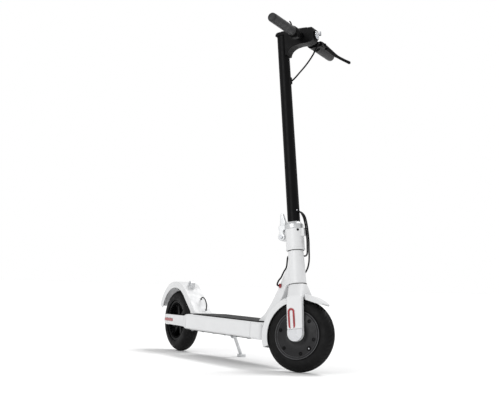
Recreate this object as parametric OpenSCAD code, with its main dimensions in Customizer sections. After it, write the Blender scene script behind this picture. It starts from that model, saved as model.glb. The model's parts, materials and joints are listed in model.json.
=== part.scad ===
// Folding electric kick scooter.
// Lengths are in millimetres. X points forward, Y to the rider's left, Z up.
// The origin lies on the ground, midway between the two axles.

/* [Overall] */
// Distance between the axles
wheelbase = 835; // [800:5:900]
// Outside diameter of both tyres
tyre_d = 216; // [208:2:224]
// Width of both tyres
tyre_w = 54; // [48:1:56]
// Lean of the steering axis from upright, in degrees
rake = 10.9; // [9:0.1:13]
// Steering angle at rest, in degrees to the left
steer = 34; // [0:1:40]
// Height of the handlebar above the front axle, along the steering axis
bar_h = 920; // [860:5:1000]
// Handlebar width from grip end to grip end
bar_w = 430; // [410:5:500]

/* [Deck] */
// Deck width
deck_w = 146; // [130:2:170]
// Height of the deck's top face above the ground
deck_top = 139; // [134:1:146]
// Height of the deck's underside above the ground
deck_bottom = 86.5; // [80:0.5:92]
// Wall of the deck tray
deck_wall = 3; // [2:0.5:4]
// Rear end of the deck tray, measured from the rear axle
deck_rear = 190; // [180:5:200]
// Thickness of the rubber mat
mat_t = 3.5; // [2:0.5:6]
// Width of the rubber mat
mat_w = 126; // [110:2:136]
// Thickness of the bottom cover
cover_t = 2; // [1.5:0.5:3]
// Battery pack length
battery_l = 320; // [260:10:340]
// Battery pack width
battery_w = 122; // [100:2:124]
// Battery pack height
battery_h = 38; // [30:1:39]

/* [Neck and head] */
// Length of the casting that closes the front of the deck
neck_base_l = 56; // [50:2:60]
// Gap between the front tyre and the casting behind it
wheel_gap = 23; // [21:1:26]
// Half width of the neck where it meets the head tube
neck_top_half = 23; // [20:1:25]
// Half width of the neck where it leaves the deck
neck_foot_half = 38; // [32:1:44]
// Lower radius of the head tube
head_r_low = 26.5; // [25:0.5:28]
// Upper radius of the head tube
head_r_top = 23.2; // [22:0.2:25]
// Height of the head tube's lower face along the steering axis
head_low = 154; // [154:1:158]
// Height of the head tube's upper face along the steering axis
head_top = 256.5; // [250:0.5:256.5]
// Radius of the steerer tube
steerer_r = 15; // [13:0.5:16]
// Outer radius of the headset bearings
headset_r = 20; // [19:0.5:21]
// Height of a headset bearing
headset_h = 8; // [6:1:10]

/* [Rear frame] */
// Half distance between the inner faces of the rear arms
arm_in = 44; // [42:0.5:46]
// Thickness of a rear arm
arm_t = 6; // [5:0.5:8]
// Height of a rear arm
arm_h = 32; // [28:1:34]
// Thickness of the plastic arm covers
arm_cover_t = 8; // [7:0.5:9]
// Radius of the rear axle
rear_axle_r = 5; // [4:0.5:6]
// Rear fender outer radius
fender_r = 132; // [130:1:140]
// Rear fender width
fender_w = 66; // [62:1:72]
// Wall of both fenders
fender_t = 3; // [2:0.5:4]

/* [Wheels] */
// Radius at which both tyres sit on their rims
rim_r = 72; // [70:1:74]
// Wall of both tyres
tyre_wall = 6; // [4:0.5:8]
// Rim wall
rim_t = 8; // [6:1:10]
// Radius of the brake disc
disc_r = 60; // [50:1:62]
// Thickness of the brake disc
disc_t = 2; // [1.6:0.2:2.4]
// Outer face of the brake disc, measured from the wheel's centre
disc_y = 32; // [31:0.5:33]
// Radius of the wheel bearings
bearing_r = 13; // [11:1:15]
// Number of spokes in the rear wheel
spokes = 6; // [4:1:8]
// Radius of the motor axle
motor_axle_r = 6; // [5:0.5:7]
// Radius of the stator
stator_r = 50; // [40:1:56]

/* [Fork] */
// Inner face of each fork leg, measured from the wheel's centre
leg_in = 31; // [30:0.5:33]
// Outer face of each fork leg
leg_out = 47; // [46:0.5:50]
// Thickness of the leg plate beside the axle
leg_plate = 9; // [7:0.5:10]
// Radius of the leg's round lower end
leg_r = 24.3; // [22:0.1:26]
// Half width of the front fender
front_fender_half = 26; // [24:1:29]

/* [Folding joint] */
// Radius of the fold housing
housing_r = 28; // [27:0.5:30]
// Lower face of the fold housing along the steering axis
housing_low = 257; // [257:0.5:260]
// Upper face of the fold housing along the steering axis
housing_top = 322; // [315:1:330]
// Distance of the fold pin behind the steering axis
fold_back = 39; // [39:0.5:40]
// Height of the fold pin along the steering axis
fold_h = 302; // [299:1:303]
// Radius of the fold pin
fold_pin_r = 4; // [3:0.5:5]
// Half width of the housing's knuckle
knuckle_half = 8; // [6:0.5:9]

/* [Stem and handlebar] */
// Stem radius at its foot
stem_r_low = 19.2; // [18:0.2:20]
// Stem radius at its top
stem_r_top = 17.4; // [16:0.2:18]
// Stem wall
stem_wall = 2.5; // [2:0.5:3]
// Handlebar tube radius
bar_r = 11; // [10:0.5:12]
// Distance of the handlebar in front of the steering axis
bar_ahead = 68; // [60:1:75]
// Half width of the bar head
head_half = 18; // [16:1:20]
// Grip radius
grip_r = 15; // [14:0.5:17]
// Length of the right grip
grip_l_right = 137; // [120:1:140]
// Length of the left grip
grip_l_left = 113; // [100:1:115]

/* [Kickstand] */
// Radius of the kickstand leg
kick_leg_r = 5.5; // [4.5:0.5:6.5]
// Radius of the kickstand pin
kick_pin_r = 3.5; // [3:0.5:4]

/* [Fits] */
// Radial running clearance of pins, axles and bearings
run_gap = 0.04; // [0.02:0.01:0.08]
// Radial clearance between pieces that are fixed to each other
seat_gap = 0.05; // [0.02:0.01:0.1]

/* [Hidden] */
$fn = 48;

e = 0.01;
rear_x = -wheelbase / 2;
tyre_r = tyre_d / 2;
tyre_sec = tyre_w / 2;
arch_r = tyre_r + wheel_gap;
deck_half = deck_w / 2;
deck_front = wheelbase - arch_r + 2;
deck_seam = deck_front - neck_base_l;
deck_in = deck_half - deck_wall;
cover_top = deck_bottom + cover_t;
arm_out = arm_in + arm_t;
arm_mid = tyre_r + 4;
axle_z = tyre_r;
nut_h = 5;
fold_u = -fold_back;
latch_h = housing_top + 8;
latch_pin_r = 3;
stem_low = housing_top + 4;
stem_top = bar_h + 17;
hole_low = 374;
hole_top = bar_h - 130;
kick_pivot = [283, deck_half - 7, deck_bottom - 12.5];
kick_foot = [262, deck_half + 32, 8];
kick_turn_z = -8.5;
kick_turn_x = 26;
caliper_a = 42;
caliper_c = 54;
pivot_lever = [98, 92, bar_h - 5];
cable_d = 5;

function unit(v) = v / norm(v);
// Point on the steering assembly, given ahead of, left of and along the steering axis
function steer_pt(u, v, w) =
    let (a = u * cos(steer) - v * sin(steer))
    let (b = u * sin(steer) + v * cos(steer))
    [wheelbase + a * cos(rake) - w * sin(rake), b, axle_z + a * sin(rake) + w * cos(rake)];
// Point on an arc in a side view
function arc(c, r, a0, a1, n) =
    [for (i = [0:n]) let (a = a0 + (a1 - a0) * i / n) [c[0] + r * cos(a), c[1] + r * sin(a)]];
// Point on the unsteered centre plane of the head
function head_pt(u, w) =
    [wheelbase + u * cos(rake) - w * sin(rake), axle_z + u * sin(rake) + w * cos(rake)];
function bezier(p, q, r, n) =
    [for (i = [0:n]) let (t = i / n) (1 - t) * (1 - t) * p + 2 * t * (1 - t) * q + t * t * r];
// Rings and faces of a round cord swept along a list of points
function heading(p, i) = unit(p[min(i + 1, len(p) - 1)] - p[max(i - 1, 0)]);
function cord_points(p, r, side) =
    [for (i = [0:len(p) - 1])
        let (t = heading(p, i), a = unit(cross(t, side)), b = cross(t, a))
        for (k = [0:7]) p[i] + r * (a * cos(45 * k) + b * sin(45 * k))];
function cord_faces(n) = concat(
    [[for (k = [0:7]) 7 - k]],
    [[for (k = [0:7]) 8 * (n - 1) + k]],
    [for (i = [0:n - 2], k = [0:7])
        [8 * i + k, 8 * i + (k + 1) % 8, 8 * (i + 1) + (k + 1) % 8, 8 * (i + 1) + k]]
);

// Frames of reference
module from_rear_axle() {
    translate([rear_x, 0, 0]) children();
}
module steered() {
    translate([rear_x + wheelbase, 0, axle_z]) rotate([0, -rake, 0]) rotate([0, 0, steer])
        children();
}
// Shapes
module slab_y(points, y0, y1) {
    translate([0, y1, 0]) rotate([90, 0, 0]) linear_extrude(y1 - y0) polygon(points);
}
module rod_y(r, y0, y1) {
    translate([0, y1, 0]) rotate([90, 0, 0]) cylinder(r = r, h = y1 - y0);
}
module turn_y() {
    rotate([-90, 0, 0]) rotate_extrude() children();
}
module both_sides() {
    children();
    mirror([0, 1, 0]) children();
}
module round_rect(w, h, r) {
    square([w - 2 * r, h], center = true);
    square([w, h - 2 * r], center = true);
    for (x = [-1, 1], y = [-1, 1])
        translate([x * (w / 2 - r), y * (h / 2 - r)]) circle(r);
}
module pill(l, h) {
    square([l - h, h], center = true);
    for (x = [-1, 1])
        translate([x * (l - h) / 2, 0]) circle(h / 2);
}
module rod(a, b, r) {
    d = b - a;
    translate(a) rotate([0, acos(d[2] / norm(d)), atan2(d[1], d[0])]) cylinder(r = r, h = norm(d));
}
module cord(points, d, side) {
    polyhedron(points = cord_points(points, d / 2, side), faces = cord_faces(len(points)));
}

// ---------------------------------------------------------------- deck
screw_xs = [for (i = [0:5]) deck_rear + 40 + i * (deck_seam - deck_rear - 60) / 5];
screw_y = deck_in - 4;
port_x = deck_seam - 40;
port_z = deck_bottom + 22;
port_r = 8;

module deck_shell() {
    color("white") from_rear_axle() difference() {
        union() {
            translate([deck_rear, 0, 0]) rotate([90, 0, 90]) linear_extrude(deck_seam - deck_rear)
                difference() {
                    translate([0, (cover_top + deck_top) / 2])
                        round_rect(deck_w, deck_top - cover_top, 7);
                    translate([-deck_in, cover_top - 10])
                        square([2 * deck_in, deck_top - deck_wall - cover_top + 10]);
                }
            both_sides() translate([deck_rear + 28, deck_in - 8, cover_top])
                cube([deck_seam - deck_rear - 32, 8 + e, 3.5]);
        }
        for (x = screw_xs, s = [-1, 1])
            translate([x, s * screw_y, cover_top - 5]) cylinder(r = 2, h = 12);
        translate([port_x, 0, port_z]) rod_y(port_r + seat_gap, deck_in - 4, deck_half + 1);
    }
}
module bottom_cover() {
    color("dimgray") from_rear_axle() difference() {
        translate([deck_rear + 2, -deck_half + 2, deck_bottom])
            cube([deck_seam - deck_rear - 4, deck_w - 4, cover_t - seat_gap]);
        for (x = screw_xs, s = [-1, 1])
            translate([x, s * screw_y, deck_bottom - 1]) cylinder(r = 2.1, h = 5);
    }
}
module bottom_cover_screws() {
    color("silver") from_rear_axle()
        for (x = screw_xs, s = [-1, 1]) translate([x, s * screw_y, 0]) {
            translate([0, 0, deck_bottom - 1.8]) cylinder(r = 4, h = 1.8 - seat_gap);
            translate([0, 0, deck_bottom - 0.5]) cylinder(r = 1.9, h = cover_t + 3.8);
        }
}
module deck_mat() {
    foot = neck_foot_half + 4;
    color("#2b2b2d") from_rear_axle() translate([0, 0, deck_top + seat_gap])
        linear_extrude(mat_t) difference() {
            translate([(deck_rear + 22 + deck_front - 14) / 2, 0])
                round_rect(deck_front - deck_rear - 36, mat_w, 12);
            translate([deck_seam + 2, 0]) circle(foot);
            translate([deck_seam - 9, -foot]) square([120, 2 * foot]);
        }
}
module battery_pack() {
    color("royalblue") from_rear_axle()
        translate([deck_rear + 40, -battery_w / 2, cover_top + 4])
            cube([battery_l, battery_w, battery_h]);
}
module motor_controller() {
    color("gray") from_rear_axle() translate([deck_seam - 72, -45, cover_top + 5]) {
        cube([56, 90, 26]);
        for (i = [0:5]) translate([4 + i * 9, 0, 26 - e]) cube([4, 90, 3]);
    }
}
module charge_port() {
    color("black") from_rear_axle() translate([port_x, 0, port_z]) difference() {
        rod_y(port_r, deck_in - 7, deck_half - 0.5);
        rod_y(5.5, deck_in + e, deck_half);
        rod_y(2, deck_in - 3, deck_half);
    }
}
cap_hinge_x = port_x + port_r + 6;
module port_cap() {
    y0 = deck_half + 0.4;
    color("#2b2b2d") from_rear_axle() {
        translate([port_x, 0, port_z]) rod_y(port_r + 2, y0, y0 + 2.5);
        translate([port_x, y0, port_z - 4]) cube([port_r + 6, 2.5, 8]);
        translate([cap_hinge_x, y0 + 1.25, port_z - 4]) cylinder(r = 1.25, h = 8);
    }
}

// ---------------------------------------------------------------- neck and head tube
grommet = head_pt(-59.5, 159);
grommet_half = neck_top_half + 4;

module neck_side() {
    top = head_pt(-head_r_top + 2, 206);
    foot = [deck_seam - 8, deck_top + seat_gap];
    knee = [deck_seam + 52, deck_top + 58];
    chin = head_pt(-56, 119);
    heel = concat(
        [head_pt(-10, 206)],
        bezier(top, knee, foot, 14),
        [[deck_seam + 0.1, deck_top + seat_gap], [deck_seam + 0.1, deck_top - 6],
            [deck_front + 10, deck_top - 6]],
        arc([wheelbase, axle_z], arch_r, 168, 150, 4),
        [chin, head_pt(-head_r_low - 1.5, head_low + 0.2), head_pt(-10, head_low + 1)]
    );
    polygon(heel);
}
module neck_front() {
    // Half widths from the deck up to the head tube
    half = [
        [deck_top - 8, deck_half - 4], [deck_top - e, deck_half - 4],
        [deck_top, neck_foot_half + 3.5], [deck_top + mat_t + 0.5, neck_foot_half + 3.5],
        [deck_top + 14, neck_foot_half],
        [deck_top + 26, neck_foot_half - 6], [deck_top + 60, neck_top_half + 5],
        [deck_top + 110, neck_top_half + 2], [deck_top + 180, neck_top_half]
    ];
    polygon(concat(
        [for (p = half) [p[1], p[0]]],
        [for (i = [len(half) - 1:-1:0]) [-half[i][1], half[i][0]]]
    ));
}
module neck() {
    duct_in = grommet + [-1, 5];
    duct_out = grommet + [16, 3];
    mid = [(duct_in[0] + deck_seam) / 2, (duct_in[1] + deck_top) / 2 - 25];
    duct = [
        duct_in, duct_out, mid + [8, -2], [deck_seam + 40, deck_top - 22],
        [deck_seam - 1, deck_top - 22], [deck_seam - 1, deck_top - 6],
        [deck_seam + 22, deck_top - 6], mid + [-10, 2]
    ];
    color("white") from_rear_axle() difference() {
        union() {
            intersection() {
                translate([0, deck_half, 0]) rotate([90, 0, 0]) linear_extrude(deck_w) neck_side();
                translate([deck_seam - 20, 0, 0]) rotate([90, 0, 90]) linear_extrude(250) neck_front();
            }
            difference() {
                intersection() {
                    translate([(deck_seam + deck_front) / 2 - 20, 0, 0]) linear_extrude(200)
                        round_rect(deck_front - deck_seam + 40, deck_w, 18);
                    translate([deck_seam + 0.1, 0, (deck_bottom + deck_top) / 2])
                        rotate([90, 0, 90]) linear_extrude(100)
                            round_rect(deck_w, deck_top - deck_bottom, 8);
                }
                translate([wheelbase, 0, axle_z]) rod_y(arch_r, -deck_w, deck_w);
            }
            translate([wheelbase, 0, axle_z]) rotate([0, -rake, 0]) translate([0, 0, head_low])
                cylinder(r1 = head_r_low, r2 = head_r_top, h = head_top - head_low);
        }
        translate([wheelbase, 0, axle_z]) rotate([0, -rake, 0]) {
            translate([0, 0, head_low - 1])
                cylinder(r = headset_r - 3, h = head_top - head_low + 2);
            translate([0, 0, head_low - 1]) cylinder(r = headset_r + seat_gap, h = headset_h + 1);
            translate([0, 0, head_top - headset_h])
                cylinder(r = headset_r + seat_gap, h = headset_h + 1);
        }
        slab_y(duct, -16, 16);
        translate([grommet[0], 0, grommet[1]]) rod_y(4.6, -40, 40);
    }
}
module headset_bearings() {
    color("silver") translate([rear_x + wheelbase, 0, axle_z]) rotate([0, -rake, 0])
        for (w = [head_low + e, head_top - headset_h + e]) translate([0, 0, w]) difference() {
            cylinder(r = headset_r, h = headset_h - 2 * e);
            translate([0, 0, -1]) cylinder(r = steerer_r + run_gap, h = headset_h + 2);
        }
}

// ---------------------------------------------------------------- rear frame, axle and wheel
arm_end = -8;
plate_x = deck_rear - 6;
slot_x = 15;
slot_l = 66;
slot_h = 9;

module arm_side(r) {
    translate([arm_end, arm_mid]) circle(r);
    translate([arm_end, arm_mid - r]) square([plate_x - arm_end, 2 * r]);
}
module rear_frame() {
    color("white") from_rear_axle() difference() {
        union() {
            both_sides() translate([0, arm_out, 0]) rotate([90, 0, 0]) linear_extrude(arm_t)
                arm_side(arm_h / 2);
            translate([plate_x - 30, -arm_in - e, arm_mid - arm_h / 2])
                cube([30 + e, 2 * arm_in + 2 * e, arm_h]);
            translate([plate_x, -deck_half + 1.5, cover_top + 1])
                cube([6 - seat_gap, deck_w - 3, deck_top - cover_top - 2.5]);
            translate([plate_x, -arm_out, cover_top + 8]) cube([28, 2 * arm_out, 30]);
        }
        translate([0, 0, axle_z]) rod_y(rear_axle_r + seat_gap, -arm_out - 1, arm_out + 1);
        translate([plate_x - 22, -arm_in + 4, arm_mid - arm_h / 2 - 1])
            cube([18, 2 * arm_in - 8, arm_h - 4]);
        translate([plate_x - 2, 40, deck_top - 6]) rotate([0, 90, 0]) cylinder(r = 3.5, h = 12);
        translate([plate_x + 10, -arm_out + 6, cover_top + 7]) cube([20, 2 * arm_out - 12, 26]);
    }
}
module arm_covers() {
    t = arm_cover_t;
    edge = arm_out + seat_gap;
    side = [
        [arm_end, arm_mid - 18], [30, arm_mid - 17], [140, arm_mid - 18],
        [plate_x, deck_bottom + 3], [plate_x, deck_top - 1], [168, arm_mid + 22],
        [140, arm_mid + 19], [30, arm_mid + 18], [arm_end, arm_mid + 18]
    ];
    plan = [
        [arm_end - 30, edge], [arm_end - 30, arm_out + t - 1.5], [arm_end - 6, arm_out + t],
        [132, arm_out + t], [plate_x - 0.1, deck_half - 0.5], [plate_x - 0.1, edge]
    ];
    color("white") from_rear_axle() both_sides() difference() {
        intersection() {
            translate([0, deck_half, 0]) rotate([90, 0, 0]) linear_extrude(deck_half) {
                translate([arm_end, arm_mid]) circle(18);
                polygon(side);
            }
            linear_extrude(200) polygon(plan);
        }
        translate([0, 0, axle_z]) rod_y(11, edge - 1, arm_out + nut_h + 0.5);
        translate([slot_x, arm_out + t - 1, arm_mid]) rotate([90, 0, 0])
            linear_extrude(4, center = true) pill(slot_l + 0.4, slot_h + 0.4);
    }
}
module rear_reflectors() {
    y = arm_out + arm_cover_t;
    color("crimson") from_rear_axle() both_sides()
        translate([slot_x, y + 0.6, arm_mid]) rotate([90, 0, 0])
            linear_extrude(3) pill(slot_l, slot_h);
}
module rear_axle() {
    color("silver") from_rear_axle() translate([0, 0, axle_z]) {
        rod_y(rear_axle_r, -arm_out - nut_h, arm_out + nut_h);
        both_sides() rod_y(rear_axle_r + 3, disc_y - 1.5, arm_in - seat_gap);
    }
}
module rear_axle_nuts() {
    color("silver") from_rear_axle() translate([0, 0, axle_z]) both_sides() difference() {
        translate([0, arm_out + nut_h, 0]) rotate([90, 0, 0])
            cylinder(r = 9, h = nut_h - seat_gap, $fn = 6);
        rod_y(rear_axle_r + seat_gap, arm_out - 1, arm_out + nut_h + 1);
    }
}
hub_half = disc_y - disc_t;
module rear_rim() {
    color("#1c1c1e") from_rear_axle() translate([0, 0, axle_z]) difference() {
        union() {
            turn_y() {
                translate([rim_r - rim_t, -22]) square([rim_t - seat_gap, 44]);
                translate([bearing_r - 4, -hub_half]) square([12, 2 * hub_half]);
            }
            for (i = [0:spokes - 1]) rotate([0, i * 360 / spokes + 12, 0])
                translate([bearing_r + 4, -9, -7]) cube([rim_r - rim_t - bearing_r - 3, 18, 14]);
        }
        rod_y(bearing_r - 3, -hub_half - 1, hub_half + 1);
        both_sides() rod_y(bearing_r + seat_gap, hub_half - 8, hub_half + 1);
    }
}
module rear_bearings() {
    color("silver") from_rear_axle() translate([0, 0, axle_z]) both_sides() difference() {
        rod_y(bearing_r, hub_half - 8, hub_half - e);
        rod_y(rear_axle_r + run_gap, hub_half - 9, hub_half + 1);
    }
}
module tyre_ring() {
    turn_y() difference() {
        translate([tyre_r - tyre_sec, 0]) circle(tyre_sec);
        translate([tyre_r - tyre_sec, 0]) circle(tyre_sec - tyre_wall);
        translate([0, -tyre_w]) square([rim_r, 2 * tyre_w]);
    }
}
module rear_tyre() {
    color("#161617") from_rear_axle() translate([0, 0, axle_z]) tyre_ring();
}
module brake_disc() {
    color("silver") from_rear_axle() translate([0, 0, axle_z]) difference() {
        rod_y(disc_r, disc_y - disc_t + e, disc_y);
        rod_y(bearing_r + 1, disc_y - disc_t - 1, disc_y + 1);
        for (i = [0:5]) rotate([0, i * 60, 0]) translate([35, 0, 0])
            rod_y(8, disc_y - disc_t - 1, disc_y + 1);
    }
}
// The caliper lies on a line up and forward of the axle
module at_caliper() {
    from_rear_axle() translate([0, 0, axle_z]) rotate([0, -caliper_a, 0]) children();
}
pad_gap = 0.7;
module pad(y0, y1) {
    translate([caliper_c - 2, 0, 0]) rod_y(9, y0, y1);
}
module brake_caliper() {
    inner = disc_y - disc_t;
    color("dimgray") {
        at_caliper() difference() {
            translate([caliper_c - 14, inner - 7, -18]) cube([26, arm_in + 3 - inner + 7, 36]);
            translate([caliper_c - 20, inner - 4, -19]) cube([disc_r + 2.5 - caliper_c + 20, 10, 38]);
            translate([caliper_c - 2, 0, 0]) rod_y(9.3, inner - 5, inner + 9);
            rod_y(bearing_r + 20, 0, 60);
            rotate([0, caliper_a, 0]) translate([0, arm_in - seat_gap, -20]) cube([90, 10, 40.5]);
        }
        from_rear_axle() difference() {
            translate([18, arm_in - 6, arm_mid + 2]) cube([34, 6 - seat_gap, 26]);
            translate([0, 0, axle_z]) rod_y(34, 0, 60);
        }
        at_caliper() pad(inner - 4.5, inner - pad_gap);
    }
}
module moving_pad() {
    color("tan") at_caliper() pad(disc_y + pad_gap, disc_y + 4.5);
}
arm_y = arm_in + 3.4;
module caliper_arm() {
    color("silver") at_caliper() difference() {
        union() {
            translate([caliper_c - 2, 0, 0]) rod_y(8, arm_y, arm_y + 3);
            translate([caliper_c - 2, arm_y, 0]) rotate([0, -38, 0]) cube([30, 3, 7]);
        }
        translate([caliper_c - 2, 0, 0]) rod_y(2, arm_y - 1, arm_y + 4);
    }
}

// ---------------------------------------------------------------- rear fender and lights
fender_c = [5, axle_z + 6];
fender_end = 162;
fender_turn = 48;
slope_foot = [deck_rear - 18, deck_top + 6];
lip = 22;

module rear_fender() {
    half = fender_w / 2;
    outer = concat(
        arc(fender_c, fender_r, fender_end, fender_turn, 19),
        [slope_foot, [deck_rear + 18, deck_top + 4.5], [deck_rear + 18, deck_top + seat_gap],
            [deck_rear - 52, deck_top + seat_gap], [deck_rear - 55, deck_top + 8]],
        arc(fender_c, fender_r - lip, fender_turn - 6, fender_end, 19)
    );
    shade = [1.3 * fender_t, 0];
    inner = concat(
        arc(fender_c, fender_r - fender_t, fender_end + 4, fender_turn, 19),
        [slope_foot - shade, [slope_foot[0] - shade[0], deck_top - 10],
            [deck_rear - 80, deck_top - 10]],
        arc(fender_c, fender_r - lip - 12, fender_turn - 10, fender_end + 4, 19)
    );
    color("white") from_rear_axle() difference() {
        slab_y(outer, -half, half);
        slab_y(inner, -half + fender_t, half - fender_t);
        for (p = [[120, 14, 188], [162, 14, 153]])
            rod(p + [-8, 0, -8], p + [8, 0, 8], 3.6);
    }
}
module fender_hook() {
    at = fender_c + fender_r * [cos(62), sin(62)];
    color("white") from_rear_axle() translate([at[0] + 2, 0, at[1] + 5]) difference() {
        union() {
            rod_y(15, -7, 7);
            translate([-12, -7, -12]) cube([24, 14, 12]);
        }
        rod_y(9.5, -8, 8);
        translate([fender_c[0] - at[0] - 2, 0, fender_c[1] - at[1] - 5])
            rod_y(fender_r + seat_gap, -20, 20);
    }
}
module tail_light() {
    color("red") from_rear_axle() translate([fender_c[0], 0, fender_c[1]])
        rotate([0, 180 + 28, 0]) difference() {
            translate([fender_r - 1, 0, 0]) rotate([90, 0, 90]) linear_extrude(9)
                round_rect(34, 26, 6);
            rod_y(fender_r + seat_gap, -30, 30);
        }
}

// ---------------------------------------------------------------- kickstand
module at_kick_pin() {
    from_rear_axle() translate(kick_pivot) rotate([0, 0, kick_turn_z]) rotate([kick_turn_x, 0, 0])
        children();
}
module kickstand_bracket() {
    color("silver") difference() {
        union() {
            at_kick_pin() for (s = [0, 1]) mirror([0, s, 0]) {
                rod_y(8.5, 6.2, 9.6);
                translate([-8.5, 6.2, 0]) cube([17, 3.4, 20]);
            }
            from_rear_axle() translate([kick_pivot[0] - 18, kick_pivot[1] - 20, deck_bottom - 3])
                cube([36, 26, 3]);
        }
        at_kick_pin() rod_y(kick_pin_r + seat_gap, -20, 20);
        translate([rear_x, 0, deck_bottom - seat_gap]) cube([700, 200, 40]);
    }
}
module kickstand_pin() {
    color("silver") at_kick_pin() {
        rod_y(kick_pin_r, -10.5, 18);
        rod_y(kick_pin_r + 2, -12.6, -9.8);
    }
}
module kickstand_spring() {
    color("dimgray") at_kick_pin() for (i = [0:3]) translate([0, 11 + i * 1.8, 0])
        turn_y() translate([kick_pin_r + 1.4, 0]) circle(1.05, $fn = 24);
}
module kickstand_leg() {
    color("whitesmoke") difference() {
        union() {
            from_rear_axle() {
                rod(kick_pivot + 0.02 * (kick_foot - kick_pivot), kick_foot, kick_leg_r);
                translate([kick_foot[0] + 5, kick_foot[1], 0]) linear_extrude(9) pill(38, 22);
            }
            at_kick_pin() rod_y(7, -5.8, 5.8);
        }
        at_kick_pin() rod_y(kick_pin_r + run_gap, -20, 20);
    }
}

// ---------------------------------------------------------------- fork and front wheel
leg_c = [2.2, 4.3];
cover_line = 16;

module leg_side() {
    translate(leg_c) circle(leg_r);
    polygon([
        [leg_c[0] - leg_r, leg_c[1]], [-20.5, 60], [-19, 100], [-19, 112],
        [31, 112], [29.5, 60], [leg_c[0] + leg_r, leg_c[1]]
    ]);
}
module in_leg_plane(y0, y1) {
    translate([0, y1, 0]) rotate([90, 0, 0]) linear_extrude(y1 - y0) children();
}
module fork() {
    color("white") steered() {
        difference() {
            union() {
                both_sides() difference() {
                    in_leg_plane(leg_in, leg_out) leg_side();
                    in_leg_plane(leg_in + leg_plate, leg_out + 1)
                        translate([-40, -40]) square([80, 40 + cover_line]);
                    in_leg_plane(leg_out - 1.5, leg_out + 1) reflector_line(0.3);
                }
                hull() {
                    translate([0, 0, head_low - 1.5]) cylinder(r = head_r_low + 0.5, h = 1, $fn = 32);
                    translate([0, 0, head_low - 14]) cylinder(r = head_r_low + 1, h = 1, $fn = 32);
                    for (s = [-1, 1], u = [-8, 20]) translate([u, s * (leg_out - 11), 100])
                        cylinder(r = 11, h = 14, $fn = 32);
                }
                translate([0, 0, head_low - 5]) cylinder(r = steerer_r, h = 150);
            }
            rod_y(tyre_r + 6, -leg_in - e, leg_in + e);
            rod_y(motor_axle_r + seat_gap, -leg_out - 1, leg_out + 1);
            translate([0, 0, head_low + 2]) cylinder(r = steerer_r - 3, h = 160);
        }
    }
}
module reflector_line(grow) {
    difference() {
        translate([-5.5, 48]) rotate(90) pill(62 + 2 * grow, 22 + 2 * grow);
        translate([-5.5, 48]) rotate(90) pill(50 - 2 * grow, 10 - 2 * grow);
        translate([-5.5 - 5 + grow, 0]) square([10 - 2 * grow, 48]);
        translate([-20, 0]) square([40, 18 - grow]);
    }
}
module fork_reflectors() {
    color("crimson") steered() both_sides() in_leg_plane(leg_out - 1.4, leg_out + 0.8)
        reflector_line(0);
}
module axle_covers() {
    color("whitesmoke") steered() both_sides() difference() {
        in_leg_plane(leg_in + leg_plate + seat_gap, leg_out + 0.5) intersection() {
            leg_side();
            translate([-40, -40]) square([80, 40 + cover_line - 0.3]);
        }
        rod_y(11.5, leg_in, leg_in + leg_plate + nut_h + 0.4);
    }
}
module motor_axle_nuts() {
    color("silver") steered() both_sides() difference() {
        translate([0, leg_in + leg_plate + nut_h, 0]) rotate([90, 0, 0])
            cylinder(r = 10, h = nut_h - seat_gap, $fn = 6);
        rod_y(motor_axle_r + seat_gap, leg_in, leg_out + 1);
    }
}
module stator_axle() {
    end = leg_in + leg_plate + nut_h;
    color("gray") steered() {
        rod_y(motor_axle_r, -end, end);
        difference() {
            rod_y(stator_r, -15, 13);
            for (i = [0:11]) rotate([0, i * 30, 0]) translate([stator_r - 8, -16, -1.5])
                cube([10, 30, 3]);
            for (i = [0:5]) rotate([0, i * 60, 0]) translate([24, 0, 0]) rod_y(6, -16, 14);
        }
    }
}
motor_left = 25.5;
motor_right = -24;
module hub_motor() {
    bore = motor_axle_r + run_gap;
    color("#2c2c2e") steered() turn_y() difference() {
        union() {
            translate([bore, motor_right]) square([rim_r - seat_gap - bore, motor_left - motor_right]);
            translate([bore, motor_left - 1]) square([14, 3.5]);
        }
        translate([0, motor_right - 1]) square([rim_r - rim_t, motor_left - 5 - motor_right + 1]);
    }
}
cover_angles = [41, -19, -82, -143, 159];
valve_angle = -50;
screw_ring = 56;
module at_cover_angle(a) {
    translate([screw_ring * cos(a), 0, screw_ring * sin(a)]) children();
}
module motor_cover() {
    bore = motor_axle_r + run_gap;
    y = motor_right;
    color("#2c2c2e") steered() difference() {
        turn_y() {
            translate([bore, y - 3]) square([rim_r - seat_gap - bore, 3 - seat_gap]);
            translate([rim_r - 7, y - 4.2]) square([7 - seat_gap, 2]);
            translate([bore, y - 4.5]) square([24 - bore, 2]);
        }
        for (a = cover_angles) at_cover_angle(a) rod_y(2, y - 6, y + 1);
        at_cover_angle(valve_angle) rod_y(5, y - 6, y + 1);
    }
}
module motor_cover_screws() {
    y = motor_right;
    color("black") steered() for (a = cover_angles) at_cover_angle(a) {
        rod_y(3, y - 4.4, y - 3.05);
        rod_y(1.9, y - 3.5, y - 0.5);
    }
}
module front_tyre() {
    color("#161617") steered() tyre_ring();
}
fender_tip = 96;
blade_r = 123.5;
module front_blade() {
    // Side view of the blade ahead of the crown, thinning towards its tip
    points = concat(
        arc([0, 0], blade_r, 75.3, 46, 9),
        [[94.5, 82.5], [92.5, 80.5], [86, 80], [64, 88.4], [46, 96], [31.3, 102.3]]
    );
    intersection() {
        slab_y(points, -front_fender_half, front_fender_half);
        translate([fender_tip - 36, 0, 70]) linear_extrude(60) {
            circle(36);
            translate([-40, -30]) square([40, 60]);
        }
    }
}
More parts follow.
